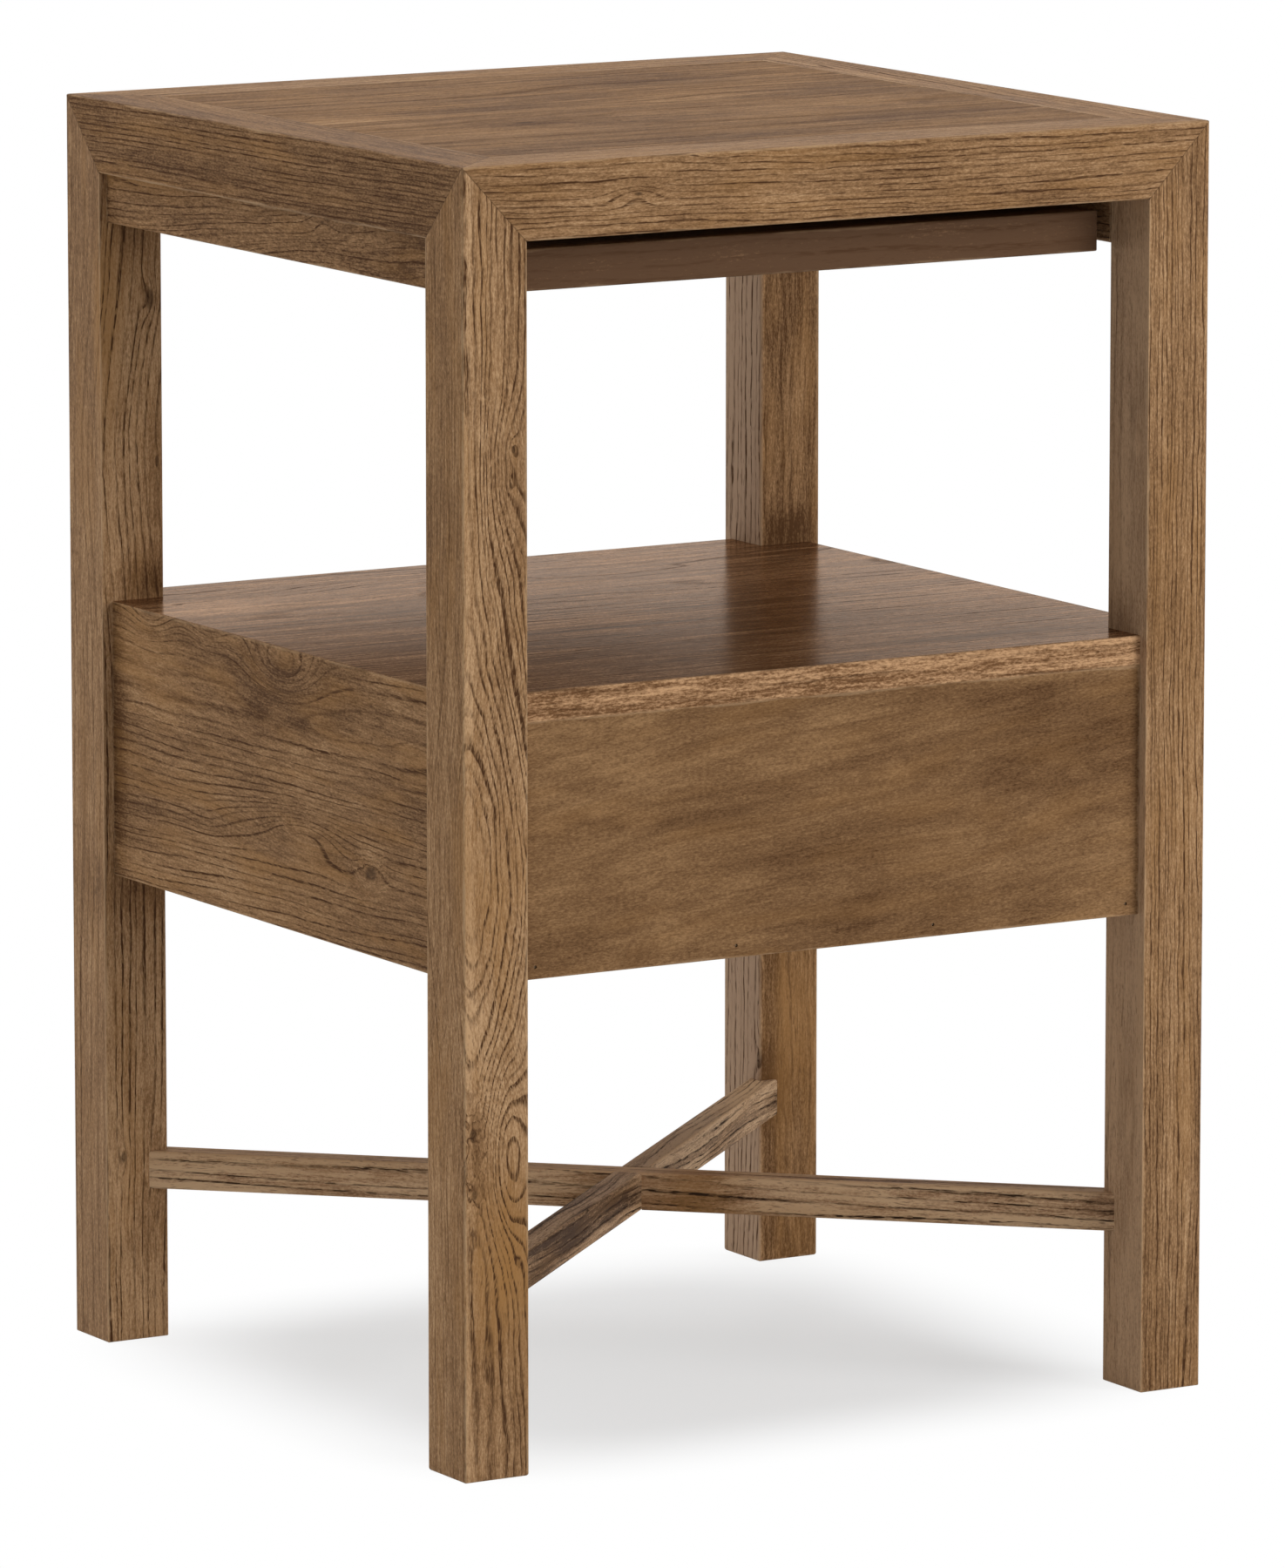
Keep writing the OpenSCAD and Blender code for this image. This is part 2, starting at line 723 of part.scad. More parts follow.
module drawer_slide_inner(sx) {
    color(zinc) difference() {
        at_corner(sx, 1) slide_bar(channel(drawer_slide_t, inner_u, inner_h, sheet_t),
                                   drawer_slide_z, slide_y, drawer_slide_l);
        at_drawer_slide_screws() small_screw_hole();
    }
}

module drawer_slide_outer_left() drawer_slide_outer(-1);
module drawer_slide_outer_right() drawer_slide_outer(1);
module drawer_slide_middle_left() drawer_slide_middle(-1);
module drawer_slide_middle_right() drawer_slide_middle(1);
module drawer_slide_inner_left() drawer_slide_inner(-1);
module drawer_slide_inner_right() drawer_slide_inner(1);

module drawer_outer_cages()
    cages(cage_u, drawer_flange, outer_ball_u, outer_ball_h, drawer_slide_z, drawer_cage_y, drawer_cage_l);

module drawer_outer_balls()
    balls(outer_ball_u, outer_ball_h, drawer_slide_z, drawer_cage_y, drawer_cage_l);

module drawer_inner_cages()
    cages(inner_cage_u, drawer_flange, inner_ball_u, inner_ball_h,
          drawer_slide_z, drawer_cage_y, drawer_cage_l);

module drawer_inner_balls()
    balls(inner_ball_u, inner_ball_h, drawer_slide_z, drawer_cage_y, drawer_cage_l);

// ---- Drawer

module drawer_front() {
    end = in_x - front_gap;
    color(oak_dark) difference() {
        eased_block([-end, case_front_y, case_z],
                    [end, drawer_y, case_top_z - case_t - front_gap], edge_r / 2);
        translate([0, case_front_y + front_t / 2, case_z]) finger_groove(drawer_groove_l);
        at_front_screws() wood_screw_hole(front_screw_l);
    }
}

// The drawer's bottom in its grooves
module bottom_panel(slack = 0) {
    x = box_half - box_t + bottom_in - fit_gap + slack;
    y0 = drawer_y + box_t - bottom_in + fit_gap - slack;
    y1 = box_back - box_t + bottom_in - fit_gap + slack;
    block([-x, y0, box_bottom_z], [x, y1, box_bottom_z + bottom_t + slack]);
}

// End of the box, from front y to back y
module box_end(y0, y1) {
    color(birch) difference() {
        block([box_t - box_half, y0, box_z], [box_half - box_t, y1, box_z + box_h]);
        bottom_panel(fit_gap);
        at_box_dowels() dowel(box_dowel_d, box_dowel_l, fit_gap);
        at_front_screws() wood_screw_hole(front_screw_l);
    }
}

module drawer_inner_front() box_end(drawer_y, drawer_y + box_t);
module drawer_back() box_end(box_back - box_t, box_back);
module drawer_bottom() color(birch) bottom_panel();

module drawer_side(sx) {
    color(birch) difference() {
        at_corner(sx, 1) block([box_half - box_t, drawer_y, box_z], [box_half, box_back, box_z + box_h]);
        bottom_panel(fit_gap);
        at_box_dowels() dowel(box_dowel_d, box_dowel_l, fit_gap);
        at_drawer_slide_screws() small_screw_hole();
    }
}

module drawer_side_left() drawer_side(-1);
module drawer_side_right() drawer_side(1);

// Pads that meet the edge of the case's bottom when the drawer is shut
module drawer_bumpers()
    color(rubber) at_each_side() translate([in_x - 2 * bumper_d, slide_y - run_gap, case_z + case_t / 2])
        rotate([90, 0, 0]) cylinder(d = bumper_d, h = close_gap - run_gap, $fn = round_fn);

// ---- Dowels, screws and brads

module mitre_dowels() color(beech) at_mitre_dowels() dowel(dowel_d, mitre_dowel_l);
module case_dowels() color(beech) at_case_dowels() dowel(dowel_d, dowel_l);
module bar_dowels() color(beech) at_bar_dowels() dowel(dowel_d, dowel_l);
module box_dowels() color(beech) at_box_dowels() dowel(box_dowel_d, box_dowel_l);
module block_screws() color(zinc) at_block_screws() wood_screw(block_screw_l);
module rail_screws() color(zinc) at_rail_screws() wood_screw(rail_screw_l);
module packer_screws() color(zinc) at_packer_screws() wood_screw(packer_screw_l);
module front_screws() color(zinc) at_front_screws() wood_screw(front_screw_l);
module fixed_slide_screws() color(zinc) at_fixed_slide_screws() small_screw();
module shelf_slide_screws() color(zinc) at_shelf_slide_screws() small_screw();
module drawer_slide_screws() color(zinc) at_drawer_slide_screws() small_screw();
module case_back_brads() color(zinc) at_brads() cylinder(d = brad_d, h = brad_l, $fn = round_fn);

leg_front_left();
leg_front_right();
leg_back_left();
leg_back_right();
top_rail_front();
top_rail_back();
top_rail_left();
top_rail_right();
top_panel();
corner_blocks();
shelf_rail_left();
shelf_rail_right();
case_top();
case_bottom();
case_side_left();
case_side_right();
case_back();
slide_packer_left();
slide_packer_right();
cross_bar_front_left();
cross_bar_front_right();
pull_shelf_board();
pull_shelf_lip();
shelf_slide_outer_left();
shelf_slide_outer_right();
shelf_slide_inner_left();
shelf_slide_inner_right();
shelf_slide_cages();
shelf_slide_balls();
drawer_slide_outer_left();
drawer_slide_outer_right();
drawer_slide_middle_left();
drawer_slide_middle_right();
drawer_slide_inner_left();
drawer_slide_inner_right();
drawer_outer_cages();
drawer_outer_balls();
drawer_inner_cages();
drawer_inner_balls();
drawer_front();
drawer_inner_front();
drawer_back();
drawer_bottom();
drawer_side_left();
drawer_side_right();
drawer_bumpers();
mitre_dowels();
case_dowels();
bar_dowels();
box_dowels();
block_screws();
rail_screws();
packer_screws();
front_screws();
fixed_slide_screws();
shelf_slide_screws();
drawer_slide_screws();
case_back_brads();
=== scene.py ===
import math

import bpy
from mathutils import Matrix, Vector


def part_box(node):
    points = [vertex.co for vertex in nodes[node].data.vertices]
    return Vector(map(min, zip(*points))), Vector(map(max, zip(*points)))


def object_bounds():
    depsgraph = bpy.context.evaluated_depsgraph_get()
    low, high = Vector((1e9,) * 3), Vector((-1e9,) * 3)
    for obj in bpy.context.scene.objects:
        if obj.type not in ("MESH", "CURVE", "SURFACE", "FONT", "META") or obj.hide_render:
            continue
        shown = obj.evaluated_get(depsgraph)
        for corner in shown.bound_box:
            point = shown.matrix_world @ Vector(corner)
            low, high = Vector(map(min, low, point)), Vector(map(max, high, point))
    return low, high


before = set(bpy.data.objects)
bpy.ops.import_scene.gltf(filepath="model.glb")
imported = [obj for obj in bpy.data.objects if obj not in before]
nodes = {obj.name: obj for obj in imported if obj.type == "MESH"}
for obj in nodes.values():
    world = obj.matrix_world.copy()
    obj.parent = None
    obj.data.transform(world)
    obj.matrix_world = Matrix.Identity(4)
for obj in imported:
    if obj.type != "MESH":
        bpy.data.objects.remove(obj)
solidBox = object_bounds()
toMm = 1000
print("frame: loaded", len(nodes), "parts of the table")


# The camera stands behind the table, on its right side
cameraView = {
    "turn": 149.28,       # degrees round the table, from its drawer side
    "tilt": 9.26,         # degrees above the floor
    "distance": 5.844,    # metres to the middle of the table
    "lens": 247.9,
    "shift": (0.0072, -0.0293),
}


def makeCamera(cameraView, aim):
    turn, tilt = math.radians(cameraView["turn"]), math.radians(cameraView["tilt"])
    back = Vector((math.sin(turn) * math.cos(tilt), -math.cos(turn) * math.cos(tilt), math.sin(tilt)))
    lensData = bpy.data.cameras.new("camera")
    lensData.lens = cameraView["lens"]
    lensData.shift_x, lensData.shift_y = cameraView["shift"]
    camera = bpy.data.objects.new("camera", lensData)
    camera.location = aim + back * cameraView["distance"]
    camera.rotation_mode = "QUATERNION"
    camera.rotation_quaternion = (-back).to_track_quat("-Z", "Y")
    bpy.context.scene.collection.objects.link(camera)
    bpy.context.scene.camera = camera


middle = (solidBox[0] + solidBox[1]) / 2
makeCamera(cameraView, middle)
print("camera: in place")


def tint(red, green, blue):
    # screen levels, 0 to 255, as a colour for a socket
    return tuple(((level / 255 + 0.055) / 1.055) ** 2.4 for level in (red, green, blue)) + (1.0,)


class Wire:
    # one socket of a node tree: sums and products on it add Math nodes
    def __init__(self, tree, socket=None):
        self.tree = tree
        self.socket = socket

    def make(self, kind, settings, values, out=0):
        node = self.tree.nodes.new(kind)
        node.location.x = 40 * len(self.tree.nodes)
        for name, value in settings.items():
            if name == "stops":
                setStops(node.color_ramp, value)
            else:
                setattr(node, name, value)
        for place, value in values.items():
            if isinstance(value, Wire):
                self.tree.links.new(value.socket, node.inputs[place])
            else:
                node.inputs[place].default_value = value
        return Wire(self.tree, node.outputs[out])

    def math(self, operation, *others, first=None):
        values = (self if first is None else first, *others)
        return self.make("ShaderNodeMath", {"operation": operation}, dict(enumerate(values)))

    def __add__(self, other):
        return self.math("ADD", other)

    def __radd__(self, other):
        return self.math("ADD", self, first=other)

    def __sub__(self, other):
        return self.math("SUBTRACT", other)

    def __rsub__(self, other):
        return self.math("SUBTRACT", self, first=other)

    def __mul__(self, other):
        return self.math("MULTIPLY", other)

    def __rmul__(self, other):
        return self.math("MULTIPLY", self, first=other)

    def __truediv__(self, other):
        return self.math("DIVIDE", other)

    def __rtruediv__(self, other):
        return self.math("DIVIDE", self, first=other)

    def __abs__(self):
        return self.math("ABSOLUTE")

    def lower(self, other):
        return self.math("MINIMUM", other)

    def higher(self, other):
        return self.math("MAXIMUM", other)

    def step(self, start, end):
        # 0 below start, 1 above end, and smooth between them
        return self.make("ShaderNodeMapRange", {"interpolation_type": "SMOOTHSTEP"},
                         {0: self, 1: start, 2: end})

    def squared(self):
        return self * self

    def vector(self, operation, *others, out="Vector"):
        return self.make("ShaderNodeVectorMath", {"operation": operation},
                         dict(enumerate((self, *others))), out)

    def dot(self, direction):
        return self.vector("DOT_PRODUCT", direction, out="Value")

    def noise(self, detail=1.0, rough=0.5):
        # about -1 to 1, from a vector
        cloud = self.make("ShaderNodeTexNoise", {},
                          {"Vector": self, "Scale": 1.0, "Detail": detail, "Roughness": rough})
        return cloud * 2 - 1

    def over(self, colour, amount):
        # this colour with another laid over it
        return self.make("ShaderNodeMix", {"data_type": "RGBA"}, {0: amount, 6: self, 7: colour}, 2)


def setStops(ramp, stops):
    while len(ramp.elements) < len(stops):
        ramp.elements.new(0.5)
    for element, (place, colour) in zip(ramp.elements, stops):
        element.position = place
        element.color = colour


def newMaterial(name):
    material = bpy.data.materials.new(name)
    material.use_nodes = True
    return material, Wire(material.node_tree), material.node_tree.nodes["Principled BSDF"]


def plug(shader, values):
    # constants and links for the sockets of a shader
    for name, value in values.items():
        if isinstance(value, Wire):
            value.tree.links.new(value.socket, shader.inputs[name])
        else:
            shader.inputs[name].default_value = value


def spread(along, length, across, width, deep, shift=0.0):
    # a point for noise whose grains are so many mm long and wide
    return along.make("ShaderNodeCombineXYZ", {},
                      {0: along / length + shift, 1: across / width, 2: deep / width})


def dress(name, material):
    nodes[name].data.materials.clear()
    nodes[name].data.materials.append(material)


# Stain and grain of each wood. Amounts are shares of the way to the dark or the light tint
oakFinish = {
    "dark": tint(84, 57, 35), "middle": tint(148, 113, 79), "light": tint(194, 157, 118),
    "golden": tint(156, 114, 68), "pore": tint(74, 49, 31), "knot": tint(52, 34, 22),
    # the last two tints: arrises rubbed light, partly a painted highlight, and a pinkish grey painted on
    # some faces as sheen
    "wearAndHighlight": tint(192, 160, 124), "paintedSheenTint": tint(158, 136, 120),
    "lines": 1.2,           # how dark the open pores of each ring are
    "specks": 0.42,         # the same for pores between the rings
    "rings": 0.12,          # how dark the wood of each ring is under its pores
    "fibre": 0.56, "grit": 0.58, "streaks": 0.3, "clouds": 0.3,
    "figure": 0.0,          # silky bands across the fibres
    "gold": 0.3,            # how golden the stain turns in patches
    "wearAndHighlightShare": 0.45, "roughness": 0.52, "sheen": 0.04, "relief": 0.35,
    "lustre": 0.0,          # polish that shows at a low angle only, in the tint below
    "lustreTint": tint(255, 236, 220),
}
panelFinish = {
    **oakFinish, "lines": 0.55, "specks": 0.4, "rings": 0.06, "streaks": 0.46, "clouds": 0.3,
    "gold": 0.15, "roughness": 0.46, "sheen": 0.007,
}
caseFinish = {**oakFinish, "lines": 1.15, "rings": 0.12, "streaks": 0.3, "gold": 0.4, "wearAndHighlightShare": 0.25}
shelfFinish = {
    **panelFinish, "dark": tint(66, 43, 27), "middle": tint(118, 84, 56), "light": tint(198, 156, 116),
    "pore": tint(62, 41, 27), "lines": 1.1, "specks": 0.4, "rings": 0.1, "clouds": 0.2, "streaks": 0.6,
    "gold": 0.0, "wearAndHighlightShare": 0.15, "roughness": 0.2, "sheen": 0.0, "relief": 0.15, "lustre": 0.57,
}
silkFinish = {
    **oakFinish, "dark": tint(78, 52, 32), "middle": tint(120, 89, 60), "light": tint(156, 121, 84),
    "lines": 0.0, "specks": 0.2, "rings": 0.05, "fibre": 0.32, "streaks": 0.24, "grit": 0.62,
    "figure": 0.28, "clouds": 0.4, "gold": 0.15, "wearAndHighlightShare": 0.3,
}
barFinish = {
    **oakFinish, "dark": tint(66, 47, 33), "middle": tint(142, 113, 86), "light": tint(188, 157, 124),
    "pore": tint(52, 37, 26), "lines": 1.25, "specks": 0.5, "streaks": 1.1, "clouds": 0.6, "gold": 0.2,
    "roughness": 0.58, "sheen": 0.04, "wearAndHighlightShare": 0.35,
}
warmBarFinish = {
    **barFinish, "middle": tint(154, 119, 89), "light": tint(200, 166, 130), "streaks": 1.2,
}
birchFinish = {
    **oakFinish, "dark": tint(172, 138, 98), "middle": tint(206, 177, 137), "light": tint(224, 200, 164),
    "golden": tint(214, 180, 130), "pore": tint(160, 124, 86), "wearAndHighlight": tint(226, 205, 172),
    "lines": 0.3, "specks": 0.2, "fibre": 0.3, "grit": 0.2, "streaks": 0.3, "roughness": 0.42,
    "sheen": 0.3, "relief": 0.12,
}
beechFinish = {
    **birchFinish, "dark": tint(180, 135, 96), "middle": tint(210, 172, 132), "light": tint(226, 194, 156),
    "lines": 0.2, "specks": 0.6,
}

# How a board was cut. Lengths are in mm from the board's own middle
plainCut = {
    "heart": (6, 60),      # where the middle of the tree lay, across the board and deep in it
    "lean": (0.0, 0.02),   # how far that middle drifts for each mm along the board
    "slant": 0.0,          # how far the grain climbs across for each mm along
    "rings": 3.6,          # mm from ring to ring
    "line": 0.4,           # share of each ring that its open pores fill
    "wander": 5.0,         # slow sway of the grain
    "ripple": 1.0,         # small sway of the grain
    "shade": 0.0,          # lighter or darker than the rest
    "faces": {},           # for the face towards +x, +y or +z: how calm its rings, how much painted light or shade, how much painted sheen
    "stainsAndPaintedLight": (),          # patches where the stain took darker, lighter or more golden, and patches of painted shade where parts meet and painted light low down
    "rim": 0.0,            # how dark the stain lies along the board's edges
    "sapwood": None,       # a light strip along one corner: across, deep and width
    "knots": (),
}

# What all the woods share: how coarse each noise is, as mm along the fibres and mm across them
grainSizes = {
    "drift": (170, 46), "quiver": (30, 9), "curl": (7, 5), "gold": (95, 16), "dashes": (9, 0.7),
    "loose": (7, 0.8), "fibre": (18, 1.3), "grit": (2.4, 0.9), "streaks": (190, 6), "clouds": (110, 44),
    "bands": (120, 8), "patches": (34, 7),
}
ringShape = {
    "rise": 0.09,           # share of a ring in which its pores begin
    "full": 0.35,           # share of the line that has its full strength
    "uneven": 1.1,          # how far the years differ in width
    "boldSpread": 1.5,      # how far the rings differ in strength
    "boldMiddle": 0.95,
    "flat": 0.35,           # what is left of rings that lie flat in a face
    "sink": 0.7,            # share of the sway that also goes into the board
    "follow": 0.6,          # share of a swelling that the fibres follow
}
surface = {
    "middleTone": 0.52,         # the tone at which the middle tint shows
    "sapLight": 0.18,           # how much lighter the sapwood is
    "seamDark": 0.42,           # how dark the mitres are
    "fibreHeight": 0.3, "coreDepth": 0.6, "seamDepth": 2,
    "poreRough": 0.14, "cloudRough": 0.06, "wornRough": -0.04,
    "glancing": (0.6, 0.78),    # where the polish starts and is full: 0 is face on, 1 along the surface
    "poreDull": 0.7,            # share of the polish that an open pore lacks
}
sides = {"x": Vector((1, 0, 0)), "y": Vector((0, 1, 0)), "z": Vector((0, 0, 1))}


def axesOf(name, grain):
    # along, across and deep as unit vectors; a bar runs from corner to corner of its box
    if grain in sides:
        return [sides[grain]] + [sides[side] for side in "xyz" if side != grain]
    low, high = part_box(name)
    run = Vector((high.x - low.x, (high.y - low.y) * grain, 0)).normalized()
    return [run, Vector((-run.y, run.x, 0)), sides["z"]]


def nearness(spot, place, board):
    # 0 at the middle of a spot, and growing with the square of the way from it
    low, high, boardMiddle, axes = board
    at = Vector(low[i] + (high[i] - low[i]) * spot["at"][i] for i in range(3)) - boardMiddle
    length, width = spot["reach"]    # mm along, and mm across and deep
    a, b, c = (((wire - at.dot(axis) * toMm) / reach).squared()
               for wire, axis, reach in zip(place, axes, (length, width, width)))
    return a + b + c


def edgeDistance(local, low, high):
    # mm from the nearest edge of the board's box
    a, b, c = (half * toMm - abs(local.dot(sides[side] * toMm))
               for half, side in zip((high - low) / 2, "xyz"))
    return a.lower(b).higher(a.higher(b).lower(c))


def seamDistance(here, seams):
    # mm from the mitres between the legs' heads and the top rails, on each outer face
    inner, outer, under, top = seams
    x, y, z = (here.dot(sides[side] * toMm) for side in "xyz")
    pastX, pastY, rise = abs(x) - inner.x * toMm, abs(y) - inner.y * toMm, z - under * toMm
    slope = (outer.x - inner.x) / (top - under)
    skin, blur, far = 1.2, 0.2, 20
    onBack = abs(y).step(outer.y * toMm - skin - blur, outer.y * toMm - skin)
    onSide = abs(x).step(outer.x * toMm - skin - blur, outer.x * toMm - skin)
    onTop = z.step(top * toMm - skin - blur, top * toMm - skin)
    return ((abs(pastX - rise * slope) + (1 - onBack) * far)
            .lower(abs(pastY - rise * slope) + (1 - onSide) * far)
            .lower(abs(pastX - pastY) + (1 - onTop) * far))


def grained(kind, along, across, deep, shift):
    length, width = grainSizes[kind]
    return spread(along, length, across, width, deep, shift)


def makeWood(name, finish, cut, grain, seed, seams=None):
    material, tree, shader = newMaterial("wood_" + name)
    low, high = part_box(name)
    boardMiddle = (low + high) / 2
    axes = axesOf(name, grain)
    coordinates = tree.make("ShaderNodeTexCoord", {}, {}, "Object")
    local = coordinates.vector("SUBTRACT", boardMiddle)
    along, across, deep = (local.dot(axis * toMm) for axis in axes)
    shift = 37.0 * seed    # moves the noise, so that no two boards are alike

    # the sway of the fibres, and the swelling of the rings round each knot
    board, place = (low, high, boardMiddle, axes), (along, across, deep)
    drift = grained("drift", along, across, deep, shift).noise(1.0)
    quiver = grained("quiver", along, across, deep, shift).noise(1.0)
    sway = drift * cut["wander"] + quiver * cut["ripple"] + along * cut["slant"]
    swell, core = None, None
    for knot in cut["knots"]:
        near = nearness(knot, place, board)
        bulge = (near * -1.0).math("EXPONENT") * knot["swell"]
        if "curl" in knot:
            bulge = bulge * (grained("curl", along, across, deep, -shift).noise(1.0) * knot["curl"] + 1)
        swell = bulge if swell is None else swell + bulge
        if knot["core"]:
            dark = 1 - (near + quiver * knot["core"]).step(knot["core"] * 0.2, knot["core"])
            core = dark if core is None else core.higher(dark)
    swayed = across + sway
    sunk = deep + sway * ringShape["sink"]

    # rings round the middle of the tree, some bolder than others
    sideways = swayed - cut["heart"][0] - along * cut["lean"][0]
    inward = sunk - cut["heart"][1] - along * cut["lean"][1]
    fromHeart = (sideways.squared() + inward.squared()).math("SQRT")
    radius = fromHeart
    if swell is not None:
        radius = fromHeart + swell
        swayed = swayed + swell * ringShape["follow"]
        sunk = sunk + swell * ringShape["follow"]
    turn = radius / cut["rings"]
    turn = turn + spread(turn, 2.4, along, 400, 0.0, shift).noise(1.0) * ringShape["uneven"]
    phase = turn.math("FRACT")
    ring = phase.step(0.0, ringShape["rise"])
    ring = ring * (1 - phase.step(cut["line"] * ringShape["full"], cut["line"]))
    bold = spread(along, 80, turn, 1.2, turn, shift).noise(0.0)
    bold = bold * ringShape["boldSpread"] + ringShape["boldMiddle"]
    normal = tree.make("ShaderNodeTexCoord", {}, {}, "Normal")
    onDeep = abs(normal.dot(axes[2]))
    steep = (abs(sideways) * onDeep + abs(inward) * (1 - onDeep)) / fromHeart
    bold = bold * (steep * (1 - ringShape["flat"]) + ringShape["flat"])
    shade, grey = cut["shade"], None
    # each listed face may get calmer rings, painted light or shade, and a painted pinkish-grey sheen
    for side, (calm, lighter, greyer) in cut["faces"].items():
        facing = normal.dot(sides[side]).higher(0.0)
        bold = bold * (1 - facing * calm)
        shade = facing * lighter + shade
        if greyer:
            grey = facing * greyer
    golden = grained("gold", along, swayed, sunk, shift).noise(2.0).step(-0.1, 0.45) * finish["gold"]
    lustre = finish["lustre"]
    # patches of stain, and patches of painted shade and painted light, some with less polish
    for spot in cut["stainsAndPaintedLight"]:
        patch = (nearness(spot, place, board) * -1.0).math("EXPONENT")
        shade = patch * spot["shade"] + shade
        golden = golden + patch * spot.get("gold", 0)
        if "lustre" in spot:
            lustre = patch * spot["lustre"] + lustre

    # open pores in lines along the rings, and loose ones between them
    dashes = grained("dashes", along, swayed, sunk, shift).noise(1.0).step(-0.16, 0.16)
    loose = grained("loose", along, swayed, sunk, -shift).noise(1.0).step(0.22, 0.42)
    pores = (ring * (dashes * 0.8 + 0.2) * bold * finish["lines"]).higher(loose * finish["specks"])
    if finish["lustre"]:
        glancing = tree.make("ShaderNodeLayerWeight", {}, {"Blend": 0.5}, "Facing")
        shut = 1 - pores.lower(1.0) * surface["poreDull"]
        lustre = lustre * glancing.step(*surface["glancing"]) * shut

    # fibres, broad streaks and clouds of stain
    fibre = grained("fibre", along, swayed, sunk, shift).noise(3.0, 0.65)
    grit = grained("grit", along, across, deep, shift).noise(2.0, 0.7)
    streaks = grained("streaks", along, swayed, sunk, -shift).noise(3.0, 0.62)
    clouds = grained("clouds", along, across, deep, -shift).noise(2.0)
    tone = (shade + fibre * finish["fibre"] + grit * finish["grit"] - ring * bold * finish["rings"]
            + streaks * finish["streaks"] + clouds * finish["clouds"] + surface["middleTone"])
    if finish["figure"]:
        bands = grained("bands", along, swayed + drift * 12, sunk, shift).noise(2.0)
        tone = tone + bands * finish["figure"]
    if cut["sapwood"]:
        halfAcross, halfDeep = (abs((high - low).dot(axis)) / 2 * toMm for axis in axes[1:])
        signAcross, signDeep, width = cut["sapwood"]
        fromCorner = halfAcross - (across * signAcross + quiver * 5 + drift * 3)
        strip = 1 - fromCorner.step(width - 3, width)
        skin = (deep * signDeep).step(halfDeep - 1.6, halfDeep - 1)    # on the one face only
        tone = tone + strip * skin * surface["sapLight"]
    edge = edgeDistance(local, low, high)
    if cut["rim"]:
        tone = tone - (1 - (edge + quiver * 3).step(0.0, 9.0)) * cut["rim"]
    stops = [(0.0, finish["dark"]), (surface["middleTone"], finish["middle"]), (1.0, finish["light"])]
    stain = tone.make("ShaderNodeValToRGB", {"stops": stops}, {0: tone})
    stain = stain.over(finish["golden"], golden)
    # painted sheen: some faces turn pinkish grey
    if grey:
        stain = stain.over(finish["paintedSheenTint"], grey)
    stain = stain.over(finish["pore"], pores.lower(1.0))
    height = fibre * surface["fibreHeight"] - pores
    if core is not None:
        stain = stain.over(finish["knot"], core * (0.62 + grit * 0.9))
        height = height - core * surface["coreDepth"]

    # arrises rubbed light, in patches: partly wear, partly a painted highlight along the edges
    patches = grained("patches", along, across, deep, shift).noise(3.0, 0.65)
    wearAndHighlight = 1 - (edge - patches * 2.4).step(0.1, 1.3)
    stain = stain.over(finish["wearAndHighlight"], wearAndHighlight * finish["wearAndHighlightShare"])
    if seams:
        seam = 1 - seamDistance(coordinates, seams).step(0.1, 0.55)
        stain = stain.over(finish["knot"], seam * surface["seamDark"])
        height = height - seam * surface["seamDepth"]

    bump = tree.make("ShaderNodeBump", {}, {"Strength": finish["relief"], "Distance": 0.0004,
                                            "Height": height})
    plug(shader, {
        "Base Color": stain,
        "Roughness": (finish["roughness"] + pores * surface["poreRough"]
                      + clouds * surface["cloudRough"] + wearAndHighlight * surface["wornRough"]),
        "Normal": bump,
        "Specular IOR Level": finish["sheen"],
        "Metallic": lustre,
        "Specular Tint": finish["lustreTint"],
    })
    dress(name, material)


